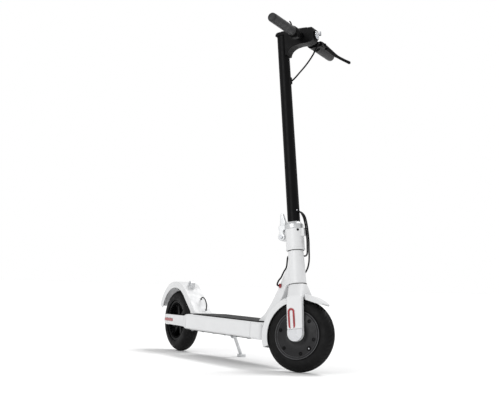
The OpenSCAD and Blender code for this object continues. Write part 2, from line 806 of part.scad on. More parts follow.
module front_fender() {
    inner = tyre_r + 6;
    half = front_fender_half;
    color("white") steered() {
        difference() {
            rotate([-90, 0, 0]) rotate([0, 0, -192]) rotate_extrude(angle = 87) difference() {
                translate([inner - 14, -half]) square([14 + fender_t + 1, 2 * half]);
                translate([inner - 20, -half + fender_t]) square([20, 2 * half - 2 * fender_t]);
            }
            rod_y(tyre_r + 3, -half + fender_t, half - fender_t);
        }
        difference() {
            front_blade();
            rod_y(blade_r - fender_t, -half + fender_t, half - fender_t);
        }
    }
}

// ---------------------------------------------------------------- folding joint
module hinge_housing() {
    color("white") steered() difference() {
        union() {
            translate([0, 0, housing_low]) cylinder(r = housing_r, h = housing_top - housing_low);
            translate([0, 0, housing_low]) cylinder(r = housing_r + 1, h = 6);
            translate([0, 0, housing_top - 9]) cylinder(r = housing_r + 0.8, h = 9);
            translate([fold_u, 0, fold_h]) rod_y(11, -knuckle_half, knuckle_half);
            translate([fold_u, -knuckle_half, fold_h - 10]) cube([20, 2 * knuckle_half, 20]);
            translate([housing_r - 8, -9, housing_top - 24]) cube([15, 18, 24]);
        }
        translate([0, 0, housing_low - 1]) cylinder(r = steerer_r + seat_gap, h = 45);
        translate([0, 0, housing_low + 46]) cylinder(r = steerer_r - 4, h = 60);
        translate([fold_u, 0, fold_h]) rod_y(fold_pin_r + seat_gap, -20, 20);
    }
}
module fold_pin() {
    end = knuckle_half + 7.6;
    color("silver") steered() translate([fold_u, 0, fold_h]) {
        rod_y(fold_pin_r, -end - 1, end + 1);
        both_sides() rod_y(fold_pin_r + 2, end, end + 3);
    }
}
ear_in = knuckle_half + 0.6;
ear_out = knuckle_half + 7;
module stem_base() {
    top = housing_top + 14;
    ear = [
        [fold_u - 8, fold_h + 6], [fold_u - 5.5, fold_h + 12], [fold_u - 5.5, latch_h - 7],
        [fold_u - 7.4, latch_h], [fold_u, latch_h + 7.5], [-housing_r + 8, top],
        [-housing_r + 8, housing_top + 0.5], [fold_u + 8.5, housing_top + 0.5],
        [fold_u + 6.5, fold_h + 12], [fold_u + 8, fold_h + 6]
    ];
    color("silver") steered() difference() {
        union() {
            translate([0, 0, housing_top + 0.4]) cylinder(r = housing_r, h = 13.6);
            translate([0, 0, top - e]) cylinder(r1 = housing_r - 2, r2 = stem_r_low + 1.5, h = 8);
            both_sides() {
                translate([fold_u, 0, fold_h]) rod_y(10.8, ear_in, ear_out);
                translate([fold_u, 0, latch_h]) rod_y(7.6, ear_in, ear_out);
                slab_y(ear, ear_in, ear_out);
            }
            translate([fold_u, 0, latch_h]) rod_y(latch_pin_r, -ear_in - e, ear_in + e);
        }
        translate([0, 0, stem_low]) cylinder(r = stem_r_low + seat_gap, h = 40);
        translate([0, 0, housing_top - 1]) cylinder(r = 10, h = 20);
        translate([fold_u, 0, fold_h]) rod_y(fold_pin_r + run_gap, -20, 20);
    }
}
module fold_latch() {
    color("silver") steered() difference() {
        union() {
            translate([fold_u, 0, latch_h]) rod_y(7.4, -knuckle_half + 0.5, knuckle_half - 0.5);
            slab_y([
                [fold_u - 7.3, latch_h], [fold_u - 5.5, latch_h + 16], [fold_u - 3, latch_h + 40],
                [fold_u - 1.5, latch_h + 45.5], [fold_u + 1.5, latch_h + 47],
                [fold_u + 5, latch_h + 45], [fold_u + 9, latch_h + 31], [fold_u + 13, latch_h + 17],
                [fold_u + 12, latch_h + 12], [fold_u + 8.5, latch_h + 6], [fold_u + 7.3, latch_h]
            ], -6, 6);
        }
        translate([fold_u, 0, latch_h]) rod_y(latch_pin_r + run_gap, -10, 10);
    }
}

// ---------------------------------------------------------------- stem
module stem_tube() {
    h = stem_top - stem_low;
    color("#1b1b1d") steered() {
        difference() {
            translate([0, 0, stem_low]) cylinder(r1 = stem_r_low, r2 = stem_r_top, h = h);
            translate([0, 0, stem_low - 1])
                cylinder(r1 = stem_r_low - stem_wall, r2 = stem_r_top - stem_wall, h = h + 2);
            for (s = [-1, 1]) translate([10, s * 4.5, hole_low + 1.2]) rotate([0, 90, 0])
                cylinder(r = cable_d, h = 12);
            translate([10, 1, hole_top - 2]) rotate([0, 90, 0]) cylinder(r = cable_d, h = 12);
        }
        translate([0, 0, hole_top - 9]) difference() {
            intersection() {
                translate([stem_r_top - 3, -7, 0]) cube([8, 14, 20]);
                cylinder(r = stem_r_top + 4, h = 20);
            }
            translate([0, 0, -1]) cylinder(r = stem_r_top - 1, h = 22);
            translate([10, 1, 7]) rotate([0, 90, 0]) cylinder(r = cable_d, h = 16);
        }
    }
}
lamp_r = 15.2;
module bar_head() {
    b = bar_h;
    side = [
        [-18, b + 18], [-16.5, b + 25], [-12, b + 29], [-6, b + 30], [60, b + 27],
        [108, b + 23], [112, b + 19], [113, b + 14], [112.5, b - 12], [108, b - 19.5],
        [99, b - 23.5], [84, b - 24.5], [62, b - 23], [46, b - 24.5], [35, b - 28], [26, b - 34],
        [21, b - 42], [18.5, b - 50], [12, b - 50], [12, b + 18]
    ];
    color("#1b1b1d") steered() difference() {
        slab_y(side, -head_half, head_half);
        translate([0, 0, b - 60]) cylinder(r = stem_r_top + 0.3, h = 60 + 17.05);
        translate([bar_ahead, 0, b]) rod_y(bar_r + seat_gap, -head_half - 1, head_half + 1);
        at_button() cylinder(r = 7.6, h = 20);
        translate([95, 0, b - 2]) rotate([0, 90, 0]) cylinder(r = lamp_r + seat_gap, h = 30);
    }
}
module at_button() {
    translate([20, 0, bar_h + 22]) children();
}
module display() {
    b = bar_h;
    side = [[2, b + 29.75], [60, b + 27.1], [90, b + 24.6], [90, b + 26.6], [60, b + 29.1],
        [2, b + 31.8]];
    color("#0c0c0d") steered() difference() {
        slab_y(side, -head_half + 3, head_half - 3);
        at_button() cylinder(r = 7.6, h = 20);
    }
}
module power_button() {
    color("dimgray") steered() at_button() translate([0, 0, 3]) cylinder(r = 7, h = 8);
}
module headlight() {
    color("lightgray") steered() translate([95.05, 0, bar_h - 2]) rotate([0, 90, 0]) {
        cylinder(r = lamp_r, h = 22);
        translate([0, 0, 22 - e]) cylinder(r1 = lamp_r - 1, r2 = lamp_r - 4, h = 3);
    }
}
grip_end = bar_w / 2;
module handlebar() {
    color("#1b1b1d") steered() translate([bar_ahead, 0, bar_h]) difference() {
        rod_y(bar_r, -grip_end + 4, grip_end - 4);
        rod_y(bar_r - 2.5, -grip_end, grip_end);
    }
}
module grip(y0, y1, cap_low) {
    difference() {
        rod_y(grip_r, y0, y1);
        rod_y(bar_r + seat_gap, y0 + (cap_low ? 3.5 : -1), y1 - (cap_low ? -1 : 3.5));
    }
}
module grips() {
    color("#242426") steered() translate([bar_ahead, 0, bar_h]) {
        grip(-grip_end, -grip_end + grip_l_right, true);
        grip(grip_end - grip_l_left, grip_end, false);
    }
}
throttle_y = -grip_end + grip_l_right + 5;
module throttle_body() {
    y = throttle_y;
    color("#1b1b1d") steered() translate([bar_ahead, 0, bar_h]) difference() {
        union() {
            rod_y(17, y, y + 20);
            translate([-6, y + 2, -20]) cube([20, 16, 12]);
        }
        rod_y(bar_r + seat_gap, y - 1, y + 21);
    }
}
module throttle_lever() {
    y = throttle_y - 4;
    color("#1b1b1d") steered() translate([bar_ahead, 0, bar_h]) {
        difference() {
            rod_y(16.5, y, y + 3.5);
            rod_y(bar_r + run_gap, y - 1, y + 5);
        }
        translate([0, y - 11.55, 13]) rotate([0, -90, 0]) rotate([0, 0, -5])
            rotate_extrude(angle = 100) translate([13, 0]) circle(2.1);
    }
}
module brake_bracket() {
    p = pivot_lever;
    color("#1b1b1d") steered() difference() {
        union() {
            translate([bar_ahead, 0, bar_h]) rod_y(15, 64, 84);
            translate([bar_ahead, 66, bar_h - 13]) cube([p[0] - bar_ahead + 2, 16, 16]);
            translate([p[0] - 9, 66, p[2] - 6]) cube([15, 26, 12]);
            translate([p[0], p[1], p[2] - 6]) cylinder(r = 8, h = 12);
        }
        translate([bar_ahead, 0, bar_h]) rod_y(bar_r + seat_gap, 60, 90);
        translate([p[0] - 12, p[1] - 12, p[2] - 3.4]) cube([40, 40, 6.8]);
        translate([0, 0, p[2] - 10]) translate([p[0], p[1], 0]) cylinder(r = 2.5, h = 20);
        translate([p[0] - 3, 60, p[2]]) rod_y(3, 0, 30);
    }
    color("silver") steered() translate([p[0], p[1], p[2] - 6.5]) cylinder(r = 2.45, h = 13);
}
lever_r = 4.4;
module brake_lever() {
    p = pivot_lever;
    run = [p + [5, 13, -1], p + [14, 58, -18], p + [26, 88, -25.5], p + [37, 111, -31]];
    color("#1b1b1d") steered() difference() {
        union() {
            translate([p[0], p[1], p[2] - 3]) cylinder(r = 7, h = 6);
            translate([p[0] - 2, p[1], p[2] - 3]) cube([10, 12, 6]);
            for (i = [0:2]) hull() {
                translate(run[i]) sphere(lever_r, $fn = 16);
                translate(run[i + 1]) sphere(i == 2 ? lever_r + 0.8 : lever_r, $fn = 16);
            }
        }
        translate([p[0], p[1], p[2] - 10]) cylinder(r = 2.45 + run_gap, h = 20);
    }
}
bell_y = 42;
module bell() {
    color("#1b1b1d") steered() translate([bar_ahead, bell_y, bar_h]) {
        difference() {
            rod_y(14, -5, 5);
            rod_y(bar_r + seat_gap, -6, 6);
        }
        translate([0, 0, 13]) cylinder(r = 7, h = 4);
        translate([0, 0, 17]) rotate_extrude() difference() {
            intersection() {
                translate([0, -2]) circle(17);
                square([16, 16]);
            }
            intersection() {
                translate([0, -3.5]) circle(17);
                translate([0, -1]) square([14.5, 14]);
            }
            translate([3, -1]) square([12, 2]);
        }
        translate([0, 0, 13]) cylinder(r = 3, h = 18);
        translate([19, 0, 8]) cylinder(r = 2, h = 12);
        translate([8.5, -3, 8]) cube([12, 6, 4]);
    }
}
module bell_lever() {
    color("silver") steered() translate([bar_ahead + 19, bell_y, bar_h + 12.4]) difference() {
        union() {
            cylinder(r = 4, h = 4.2);
            translate([0, -2, 0]) cube([22, 4, 3]);
            translate([22, 0, 0]) cylinder(r = 4, h = 12);
        }
        translate([0, 0, -1]) cylinder(r = 2 + run_gap, h = 20);
    }
}

// ---------------------------------------------------------------- cables
// Brake cable and main lead on the stem: ahead of, left of and along the steering axis
brake_top = [
    [95, 84, bar_h - 5], [95, 74, bar_h - 5], [95, 64, bar_h - 5], [93, 58, bar_h - 11],
    [88, 52, bar_h - 24], [80, 44, bar_h - 44], [70, 35, bar_h - 64], [58, 25, bar_h - 84],
    [44, 14, bar_h - 104], [32, 6, bar_h - 120], [22, 1, hole_top], [16, 1, hole_top - 2.2],
    [11, 1.5, hole_top - 7], [7, 3, hole_top - 22], [7, 4, hole_low + 24],
    [9, 4.5, hole_low + 10], [14, 4.5, hole_low + 3], [20, 4.5, hole_low]
];
lead_top = [
    [6, -4, bar_h + 8], [7, -4, hole_low + 24], [9, -4.5, hole_low + 10],
    [14, -4.5, hole_low + 3], [20, -4.5, hole_low]
];
module stem_cables() {
    color("black") steered() {
        cord(brake_top, cable_d, [0.3, -1, 0.2]);
        cord(lead_top, cable_d, [0, 1, 0]);
    }
}
brake_fold = [
    [20, 4.5, hole_low], [26, 4.5, hole_low - 3], [34, 5, 360], [38.5, 5, 344], [40.5, 6, 324],
    [41.5, 7, 300], [41.5, 8, 280], [39.5, 10, 257]
];
lead_fold = [
    [20, -4.5, hole_low], [26, -4.5, hole_low - 3], [33, -4.3, 358], [37, -4, 342],
    [39, -3, 322], [40, -2, 300], [40, -1, 280], [38, 1, 257]
];
module fold_cables() {
    color("black") steered() {
        cord(brake_fold, cable_d, [0, 1, 0.1]);
        cord(lead_fold, cable_d, [0, 1, 0.1]);
    }
}
grommet_l = [grommet[0], grommet_half, grommet[1]];
grommet_r = [grommet[0], -grommet_half, grommet[1]];
brake_neck = [
    steer_pt(39.5, 10, 257), steer_pt(39, 10.5, 251.25), steer_pt(37, 14, 238),
    steer_pt(31, 22, 220), steer_pt(21, 31, 204), steer_pt(7, 39, 191), steer_pt(-10, 47, 178),
    grommet_l + [9, 10.5, 11], grommet_l + [2, 11.5, 3.4], grommet_l + [0, 7, 1.17], grommet_l
];
lead_neck = [
    steer_pt(38, 1, 257), steer_pt(37.5, 1.5, 251.25), steer_pt(35, 5, 244.5),
    steer_pt(29, 13, 241.5), steer_pt(20, 24, 241.5), steer_pt(9, 31, 243.5),
    steer_pt(-7, 32, 246.5), steer_pt(-21, 27, 248.5), steer_pt(-29.5, 21, 248),
    steer_pt(-34, 15, 244.5), steer_pt(-35, 11.5, 236), steer_pt(-35.5, 8.5, 224),
    steer_pt(-38, 7, 211), steer_pt(-47, 5.5, 198), steer_pt(-54.5, 2.5, 183),
    grommet_r + [7, -9, 16], grommet_r + [3.5, -11.5, 6.5], grommet_r + [-0.5, -8, 1], grommet_r
];
module steer_cables() {
    color("black") from_rear_axle() {
        cord(brake_neck, cable_d, [1, 0, -0.5]);
        cord(lead_neck, cable_d, [1, 0, 0.9]);
    }
}
brake_rear = [
    grommet_l, grommet_l - [0, 12, 2], grommet_l + [-8, -21, -12],
    [697, 3, 173], [684, 3, 144], [672, 3.5, 128], [655, 4, 125], [632, 14, 129],
    [600, 38, 128], [568, 60, 126], [545, 66, 120], [240, 66, 118], [227, 65, 120],
    [212, 54, 128], [202, 43, 132.5], [194, 40, 133], [180, 40, 133], [164, 39, 137],
    [140, 41, 143], [110, 46, 154], [84, 49, 166], [60, 50, 174]
];
lead_rear = [
    grommet_r, grommet_r + [0.5, 8, -1], grommet_r + [-2, 16, -4], grommet_r + [-9, 22, -14],
    [697, -3.5, 173], [684, -3.5, 144], [672, -3.5, 128], [655, -4, 125], [640, -6, 119]
];
lamp_lead = [
    [118, 14, 185], [124, 14, 192], [136, 14, 195], [150, 14, 191], [161, 14, 181],
    [167, 14, 168], [166, 14, 157], [160, 14, 150]
];
module frame_cables() {
    color("black") from_rear_axle() {
        cord(brake_rear, cable_d, [0.1, 0.2, 1]);
        cord(lead_rear, cable_d, [0.1, 0.2, 1]);
        cord(lamp_lead, cable_d - 1, [0, 1, 0]);
    }
}

deck_shell();
neck();
rear_frame();
deck_mat();
bottom_cover();
bottom_cover_screws();
battery_pack();
motor_controller();
charge_port();
port_cap();
kickstand_bracket();
kickstand_pin();
kickstand_spring();
kickstand_leg();
arm_covers();
rear_reflectors();
rear_fender();
fender_hook();
tail_light();
frame_cables();
brake_caliper();
moving_pad();
caliper_arm();
rear_axle();
rear_axle_nuts();
rear_rim();
rear_tyre();
brake_disc();
rear_bearings();
headset_bearings();
fork();
fork_reflectors();
axle_covers();
front_fender();
stator_axle();
motor_axle_nuts();
hub_motor();
motor_cover();
motor_cover_screws();
front_tyre();
hinge_housing();
fold_pin();
stem_base();
fold_latch();
stem_tube();
bar_head();
display();
power_button();
headlight();
handlebar();
grips();
throttle_body();
throttle_lever();
brake_bracket();
brake_lever();
bell();
bell_lever();
stem_cables();
fold_cables();
steer_cables();
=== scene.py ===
import json
import math

import bmesh
import bpy
from mathutils import Matrix, Vector

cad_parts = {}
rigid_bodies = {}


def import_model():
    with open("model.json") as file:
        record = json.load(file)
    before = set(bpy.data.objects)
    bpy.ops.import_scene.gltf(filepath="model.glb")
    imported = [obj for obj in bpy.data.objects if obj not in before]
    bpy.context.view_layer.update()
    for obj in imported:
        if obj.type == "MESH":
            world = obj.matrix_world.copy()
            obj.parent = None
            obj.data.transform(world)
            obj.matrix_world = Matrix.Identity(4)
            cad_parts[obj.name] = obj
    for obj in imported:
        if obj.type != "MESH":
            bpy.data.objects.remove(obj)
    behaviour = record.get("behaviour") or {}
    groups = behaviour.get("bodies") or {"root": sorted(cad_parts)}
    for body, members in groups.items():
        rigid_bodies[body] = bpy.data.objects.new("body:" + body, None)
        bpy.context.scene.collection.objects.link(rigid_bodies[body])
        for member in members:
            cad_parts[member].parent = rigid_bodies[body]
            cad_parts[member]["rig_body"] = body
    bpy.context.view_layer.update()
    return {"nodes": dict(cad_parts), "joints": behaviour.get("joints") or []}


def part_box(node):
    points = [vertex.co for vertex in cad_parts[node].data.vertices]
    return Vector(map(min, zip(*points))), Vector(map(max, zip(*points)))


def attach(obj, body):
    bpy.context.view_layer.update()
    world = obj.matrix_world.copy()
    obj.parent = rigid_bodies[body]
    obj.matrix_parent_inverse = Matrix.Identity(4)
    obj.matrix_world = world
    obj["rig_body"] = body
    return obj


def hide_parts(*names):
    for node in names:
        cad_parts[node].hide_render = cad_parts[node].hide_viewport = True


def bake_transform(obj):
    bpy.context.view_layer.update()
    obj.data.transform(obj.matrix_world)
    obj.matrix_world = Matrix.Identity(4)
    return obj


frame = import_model()

# ------------------------------------------------------------------ frames of reference
MM = 0.001
JOINTS = {j["name"]: j for j in frame["joints"]}
NODES = frame["nodes"]
X, Y, Z = Vector((1, 0, 0)), Vector((0, 1, 0)), Vector((0, 0, 1))


def placed(ahead, across, up, origin):
    """Matrix from millimetres along three directions to metres in the row frame."""
    turn = Matrix((ahead, across, up)).transposed().to_4x4()
    turn.translation = origin
    return turn @ Matrix.Scale(MM, 4)


FRONT_AXLE = Vector(JOINTS["front_wheel_spin"]["pos_m"])
REAR_AXLE = Vector(JOINTS["rear_wheel_spin"]["pos_m"])
UP_STEM = Vector(JOINTS["steering"]["axis"]).normalized()
ACROSS = Vector(JOINTS["front_wheel_spin"]["axis"]).normalized()
# Ahead of, left of and along the steering axis, from the front axle
STEER = placed(ACROSS.cross(UP_STEM), ACROSS, UP_STEM, FRONT_AXLE)
# Ahead of the rear axle, left, and up from the ground
REAR = placed(X, Y, Z, Vector((REAR_AXLE.x, 0, 0)))
# The same two wheels, from the wheel's own centre
REAR_HUB = placed(X, Y, Z, REAR_AXLE)

TYRE_R = REAR_AXLE.z / MM
TYRE_SECTION = 27
RIM_R = 72
BAR_H = 920
BAR_AHEAD = 68
BAR_HALF = 215
GRIP_RIGHT = 137
GRIP_LEFT = 113
CABLE_R = 2.5
RAKE = math.acos(UP_STEM.z)


# ------------------------------------------------------------------ materials
def link(tree, a, b):
    tree.links.new(a, b)


def noise_node(tree, coords, scale, detail=3.0, rough=0.55):
    n = tree.nodes.new("ShaderNodeTexNoise")
    n.inputs["Scale"].default_value = scale
    n.inputs["Detail"].default_value = detail
    n.inputs["Roughness"].default_value = rough
    link(tree, coords, n.inputs["Vector"])
    return n.outputs["Fac"]


def ramp(tree, value, low, high, out_low, out_high):
    n = tree.nodes.new("ShaderNodeMapRange")
    for name, number in (
        ("From Min", low),
        ("From Max", high),
        ("To Min", out_low),
        ("To Max", out_high),
    ):
        n.inputs[name].default_value = number
    link(tree, value, n.inputs["Value"])
    return n.outputs["Result"]


def mixed(tree, factor, a, b):
    n = tree.nodes.new("ShaderNodeMix")
    n.data_type = "RGBA"
    link(tree, factor, n.inputs["Factor"])
    for socket, colour in (("A", a), ("B", b)):
        target = [i for i in n.inputs if i.name == socket and i.type == "RGBA"][0]
        if hasattr(colour, "is_linked"):
            link(tree, colour, target)
        else:
            target.default_value = (*colour, 1)
    return [o for o in n.outputs if o.type == "RGBA"][0]


def finish(
    name,
    colour,
    rough=0.45,
    metal=0.0,
    mottle=0.08,
    grain=600,
    bump=0.12,
    depth=0.0003,
    edge_wear_and_highlight=None,
    coat=0.0,
    clear=0.0,
    streak=None,
    sheen=0.5,
):
    """A procedural finish: drifting colour, uneven gloss, a fine surface and recoloured edges:
    rubbed wear on some finishes, a painted highlight on the tyre and the motor cover.
    """
    mat = bpy.data.materials.new("look_" + name)
    mat.use_nodes = True
    tree = mat.node_tree
    bsdf = tree.nodes["Principled BSDF"]
    coords = tree.nodes.new("ShaderNodeTexCoord").outputs["Object"]
    if streak:
        stretch = tree.nodes.new("ShaderNodeMapping")
        stretch.inputs["Scale"].default_value = streak
        link(tree, coords, stretch.inputs["Vector"])
        fine_coords = stretch.outputs["Vector"]
    else:
        fine_coords = coords
    dark = [c * (1 - mottle) for c in colour]
    light = [min(1.0, c * (1 + mottle)) for c in colour]
    drift = ramp(tree, noise_node(tree, coords, 22), 0.3, 0.7, 0, 1)
    shade = mixed(tree, drift, dark, light)
    if edge_wear_and_highlight:
        # Edges found by pointiness take the edge colour: rubbed wear on some finishes, a painted
        # highlight on the tyre tread and the motor cover.
        edge = tree.nodes.new("ShaderNodeNewGeometry").outputs["Pointiness"]
        rubbed_and_lit_edges = tree.nodes.new("ShaderNodeMath")
        rubbed_and_lit_edges.operation = "MULTIPLY"
        link(tree, ramp(tree, edge, 0.56, 0.68, 0, 0.4), rubbed_and_lit_edges.inputs[0])
        link(tree, ramp(tree, noise_node(tree, coords, 90), 0.5, 0.65, 0, 1), rubbed_and_lit_edges.inputs[1])
        shade = mixed(tree, rubbed_and_lit_edges.outputs[0], shade, edge_wear_and_highlight)
    link(tree, shade, bsdf.inputs["Base Color"])
    gloss = noise_node(tree, fine_coords, 60)
    spread = min(0.12, rough * 0.4)
    uneven = ramp(tree, gloss, 0.3, 0.7, rough - spread, rough + spread)
    link(tree, uneven, bsdf.inputs["Roughness"])
    relief = tree.nodes.new("ShaderNodeBump")
    relief.inputs["Strength"].default_value = bump
    relief.inputs["Distance"].default_value = depth
    link(tree, noise_node(tree, fine_coords, grain, 2.0), relief.inputs["Height"])
    link(tree, relief.outputs["Normal"], bsdf.inputs["Normal"])
    bsdf.inputs["Metallic"].default_value = metal
    bsdf.inputs["Specular IOR Level"].default_value = sheen
    bsdf.inputs["Coat Weight"].default_value = coat
    bsdf.inputs["Coat Roughness"].default_value = 0.12
    bsdf.inputs["Transmission Weight"].default_value = clear
    return mat


WHITE_WEAR = (0.52, 0.52, 0.51)
# Lighter edge colour for dark parts: rubbed wear on black metal and plastic, a painted highlight on
# the motor cover's edges.
DARK_EDGE_WEAR_AND_HIGHLIGHT = (0.06, 0.06, 0.065)
FINISH = {
    "frame_white": finish(
        "frame_white", (0.7, 0.705, 0.712), 0.42, mottle=0.015, grain=1400, bump=0.1,
        edge_wear_and_highlight=WHITE_WEAR, coat=0.15,
    ),
    "cover_white": finish(
        "cover_white", (0.68, 0.685, 0.69), 0.5, mottle=0.02, grain=2200, bump=0.16,
        edge_wear_and_highlight=WHITE_WEAR,
    ),
    "cap_clear": finish("cap_clear", (0.7, 0.71, 0.73), 0.28, mottle=0.03, coat=0.4, clear=0.12),
    "satin_metal": finish(
        "satin_metal", (0.66, 0.67, 0.68), 0.34, metal=0.7, mottle=0.04, grain=900, bump=0.1,
    ),
    "steel": finish("steel", (0.5, 0.51, 0.53), 0.3, metal=1.0, mottle=0.08, grain=1200, bump=0.1),
    "black_metal": finish(
        "black_metal", (0.0035, 0.0035, 0.0038), 0.38, mottle=0.25, grain=1500, bump=0.14,
        edge_wear_and_highlight=DARK_EDGE_WEAR_AND_HIGHLIGHT, sheen=0.09,
    ),
    # The lighter edges here are a painted highlight standing in for the gloss on the cover's rings.
    "motor_grey": finish(
        "motor_grey", (0.0125, 0.0125, 0.0135), 0.42, metal=0.05, mottle=0.2, grain=1300,
        bump=0.16, edge_wear_and_highlight=DARK_EDGE_WEAR_AND_HIGHLIGHT, sheen=0.25,
    ),
    "black_plastic": finish(
        "black_plastic", (0.0035, 0.0035, 0.0038), 0.5, mottle=0.25, grain=1900, bump=0.25,
        edge_wear_and_highlight=DARK_EDGE_WEAR_AND_HIGHLIGHT, sheen=0.07,
    ),
    "display_gloss": finish(
        "display_gloss", (0.003, 0.003, 0.0035), 0.1, mottle=0.1, bump=0.02, coat=0.5,
    ),
    "lens_clear": finish("lens_clear", (0.8, 0.82, 0.85), 0.12, mottle=0.03, coat=0.6, clear=0.5),
    # The lighter tread edges are a painted highlight that makes the tread blocks show, not wear.
    "tyre_black": finish(
        "tyre_black", (0.0032, 0.0032, 0.0034), 0.6, mottle=0.3, grain=800, bump=0.35,
        depth=0.0004, edge_wear_and_highlight=(0.06, 0.06, 0.06), sheen=0.16,
    ),
    "grip_rubber": finish(
        "grip_rubber", (0.013, 0.013, 0.014), 0.5, mottle=0.15, grain=900, bump=0.3,
        edge_wear_and_highlight=(0.06, 0.06, 0.062), sheen=0.35,
    ),
    "mat_rubber": finish(
        "mat_rubber", (0.006, 0.006, 0.0065), 0.64, mottle=0.2, grain=1000, bump=0.35,
        edge_wear_and_highlight=(0.04, 0.04, 0.04), sheen=0.25,
    ),
    "cable_black": finish(
        "cable_black", (0.003, 0.003, 0.0033), 0.42, mottle=0.25, grain=1600, sheen=0.15,
    ),
    "reflector_red": finish(
        "reflector_red", (0.3, 0.012, 0.018), 0.22, mottle=0.18, grain=500, bump=0.5,
        depth=0.0005, coat=0.7,
    ),
    "battery_blue": finish("battery_blue", (0.02, 0.07, 0.3), 0.35, mottle=0.1, coat=0.3),
    "controller_grey": finish("controller_grey", (0.3, 0.31, 0.32), 0.4, metal=0.8),
    "stator_steel": finish("stator_steel", (0.32, 0.33, 0.35), 0.4, metal=0.9),
    "pad_tan": finish("pad_tan", (0.32, 0.2, 0.1), 0.8, mottle=0.25, grain=700, bump=0.5),
    "kick_silver": finish(
        "kick_silver", (0.66, 0.67, 0.68), 0.36, metal=0.5, mottle=0.05, bump=0.12,
    ),
    "caliper_grey": finish(
        "caliper_grey", (0.09, 0.09, 0.095), 0.45, metal=0.6, mottle=0.1, grain=900, bump=0.2,
        edge_wear_and_highlight=(0.3, 0.3, 0.31),
    ),
}


# ------------------------------------------------------------------ building pieces
def node_slot(node):
    return NODES[node]["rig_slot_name"]


for cad in NODES.values():
    named = cad.data.materials[0].name.split(".")[0]
    cad["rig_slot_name"] = named
    cad.data.materials[0] = FINISH[named]


def dress(obj, body, slot, swaps=(), sharp=35.0, width=0.0, steps=2):
    """Finish, shading and body of a new piece."""
    mesh = obj.data
    mesh.materials.clear()
    mesh.materials.append(FINISH[slot])
    mesh.shade_smooth()
    mesh.set_sharp_from_angle(angle=math.radians(sharp))
    if width:
        bevel = obj.modifiers.new("edges", "BEVEL")
        bevel.width = width * MM
        bevel.segments = steps
        bevel.limit_method = "ANGLE"
        bevel.angle_limit = math.radians(sharp)
        bevel.harden_normals = True
    if swaps:
        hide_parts(*swaps)
    if body:
        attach(obj, body)
    return obj


def new_object(name, mesh):
    obj = bpy.data.objects.new(name, mesh)
    bpy.context.scene.collection.objects.link(obj)
    return obj


def piece(name, verts, faces, space, body, slot, **looks):
    mesh = bpy.data.meshes.new(name)
    mesh.from_pydata([space @ Vector(v) for v in verts], [], faces)
    shape = bmesh.new()
    shape.from_mesh(mesh)
    bmesh.ops.recalc_face_normals(shape, faces=shape.faces)
    shape.to_mesh(mesh)
    shape.free()
    return dress(new_object(name, mesh), body, slot, **looks)


def settled(obj):
    """The object's mesh with its modifiers applied."""
    bpy.context.view_layer.update()
    seen = obj.evaluated_get(bpy.context.evaluated_depsgraph_get())
    mesh = bpy.data.meshes.new_from_object(seen)
    obj.modifiers.clear()
    obj.data = mesh


def cast(name, nodes, slot=None, voxel=1.3, passes=6, extra=()):
    """One rounded casting from CAD nodes of one body, with extra lumps melted in."""
    shape = bmesh.new()
    for node in nodes:
        shape.from_mesh(NODES[node].data)
    for verts, faces, space in extra:
        lump = [shape.verts.new(space @ Vector(v)) for v in verts]
        for f in faces:
            shape.faces.new([lump[i] for i in f])
    bmesh.ops.remove_doubles(shape, verts=shape.verts, dist=1e-6)
    mesh = bpy.data.meshes.new(name)
    shape.to_mesh(mesh)
    shape.free()
    obj = new_object(name, mesh)
    remesh = obj.modifiers.new("voxels", "REMESH")
    remesh.mode = "VOXEL"
    remesh.voxel_size = voxel * MM
    soften = obj.modifiers.new("soften", "SMOOTH")
    soften.factor = 0.5
    soften.iterations = passes
    settled(obj)
    return dress(
        obj, NODES[nodes[0]]["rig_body"], slot or node_slot(nodes[0]), swaps=nodes, sharp=180
    )


def edged(node, width=0.8, sharp=32.0, slot=None, name=None):
    """A CAD node's shape with its faces merged and its edges rounded."""
    shape = bmesh.new()
    shape.from_mesh(NODES[node].data)
    bmesh.ops.remove_doubles(shape, verts=shape.verts, dist=1e-6)
    bmesh.ops.dissolve_limit(
        shape, angle_limit=math.radians(0.4), verts=shape.verts, edges=shape.edges
    )
    mesh = bpy.data.meshes.new(name or node + "_look")
    shape.to_mesh(mesh)
    shape.free()
    obj = new_object(mesh.name, mesh)
    body = NODES[node]["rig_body"]
    return dress(obj, body, slot or node_slot(node), (node,), sharp, width)


def skin(rings, closed=False, caps=True):
    """Vertices and faces of a skin over rings of equal count."""
    count = len(rings[0])
    verts = [p for ring in rings for p in ring]
    faces = []
    spans = len(rings) if closed else len(rings) - 1
    for i in range(spans):
        a, b = i * count, ((i + 1) % len(rings)) * count
        for k in range(count):
            n = (k + 1) % count
            faces.append((a + k, a + n, b + n, b + k))
    if caps and not closed:
        faces.append(tuple(reversed(range(count))))
        faces.append(tuple(range(len(verts) - count, len(verts))))
    return verts, faces


def turned(profile, steps=72, at=(0, 0, 0)):
    """A closed profile of (axial, radius) pairs turned about the Y axis."""
    rings = []
    for i in range(steps):
        a = 2 * math.pi * i / steps
        rings.append(
            [(at[0] + r * math.cos(a), at[1] + y, at[2] + r * math.sin(a)) for y, r in profile]
        )
    return skin(rings, closed=True)


def turned_up(profile, steps=48, at=(0, 0, 0)):
    """A closed profile of (height, radius) pairs turned about the Z axis."""
    verts, faces = turned(profile, steps)
    return [(at[0] + v[0], at[1] + v[2], at[2] + v[1]) for v in verts], faces


def extruded(outline, y0, y1):
    return skin([[(x, y, z) for x, z in outline] for y in (y0, y1)])


def block(low, high):
    (x0, y0, z0), (x1, y1, z1) = low, high
    return extruded([(x0, z0), (x1, z0), (x1, z1), (x0, z1)], y0, y1)


def joined(parts):
    verts, faces = [], []
    for v, f in parts:
        base = len(verts)
        verts += list(v)
        faces += [tuple(base + i for i in face) for face in f]
    return verts, faces


